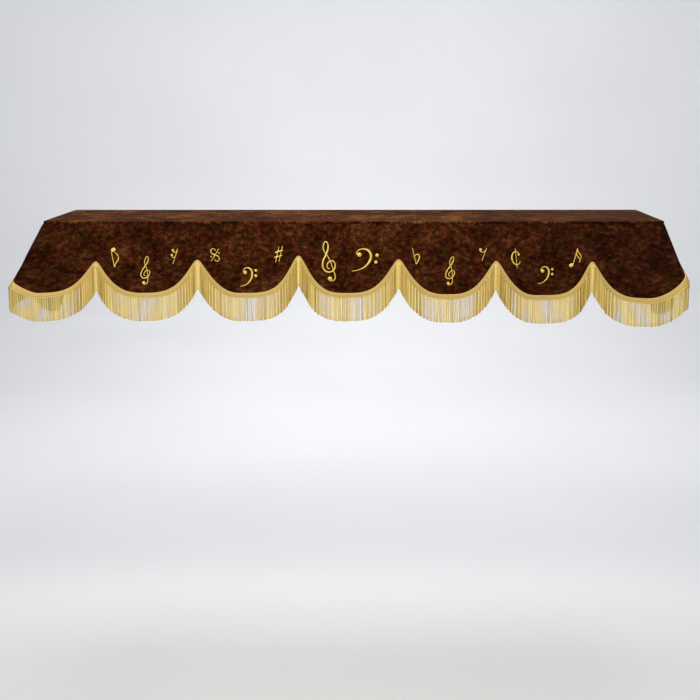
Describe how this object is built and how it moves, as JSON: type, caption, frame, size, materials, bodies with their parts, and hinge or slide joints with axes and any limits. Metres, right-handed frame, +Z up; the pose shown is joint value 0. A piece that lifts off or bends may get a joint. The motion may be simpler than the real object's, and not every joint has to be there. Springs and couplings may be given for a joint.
{
  "type": "piano cover",
  "caption": "Fitted velvet cover for the top of an upright piano, with hanging skirts that kick out at the corners, a scalloped hem and bullion fringe.",
  "frame": {"origin": "middle of the top panel's underside, where it rests on the piano's lid", "axes": "+X along the keyboard to the player's right, -Y out of the front towards the player, +Z up"},
  "size_m": [1.7615, 0.4673, 0.2721],
  "materials": {
    "velvet": "crushed velvet, dark brown, mottled",
    "bullion": "twisted rayon cord, old gold, satin"
  },
  "bodies": {
    "root": {"top_panel": "velvet", "skirt_front": "velvet", "skirt_right": "velvet", "skirt_back": "velvet", "skirt_left": "velvet", "fringe": "bullion"}
  },
  "joints": []
}
